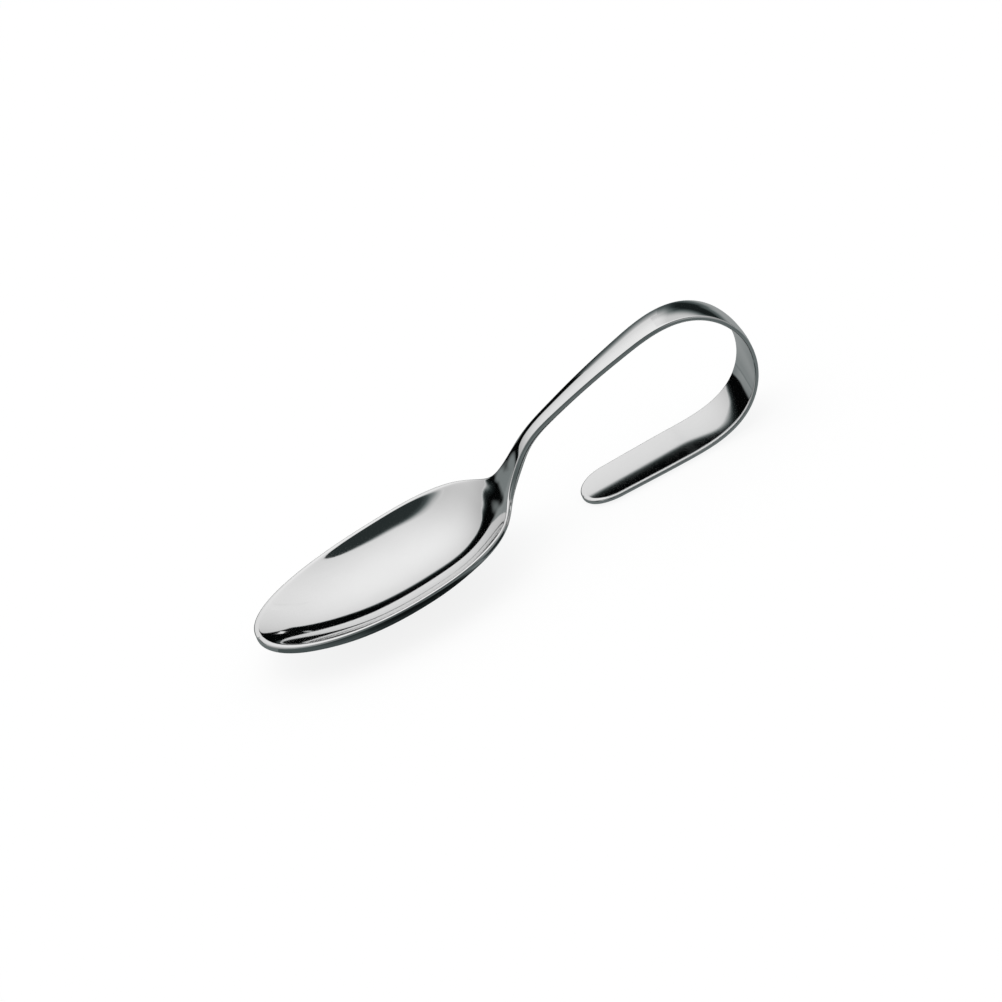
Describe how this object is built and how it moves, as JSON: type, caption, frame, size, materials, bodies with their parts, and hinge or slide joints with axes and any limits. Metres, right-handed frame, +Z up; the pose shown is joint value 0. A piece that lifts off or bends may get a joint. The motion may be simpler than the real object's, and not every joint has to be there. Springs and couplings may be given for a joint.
{
  "type": "bent spoon",
  "caption": "Curled serving spoon in polished steel: an egg-shaped bowl on a slender handle that rolls over into a finger loop and lies back flat as a foot.",
  "frame": {"origin": "on the surface that the spoon stands on, below the middle of its length and of its width", "axes": "+X from the bowl's tip to the finger loop, +Y across the bowl, +Z up"},
  "size_m": [0.1196, 0.0392, 0.0301],
  "materials": {
    "polished_steel": "mirror polished stainless steel"
  },
  "bodies": {
    "root": {"bowl": "polished_steel", "neck": "polished_steel", "handle_shank": "polished_steel", "finger_loop": "polished_steel", "handle_tail": "polished_steel"}
  },
  "joints": []
}
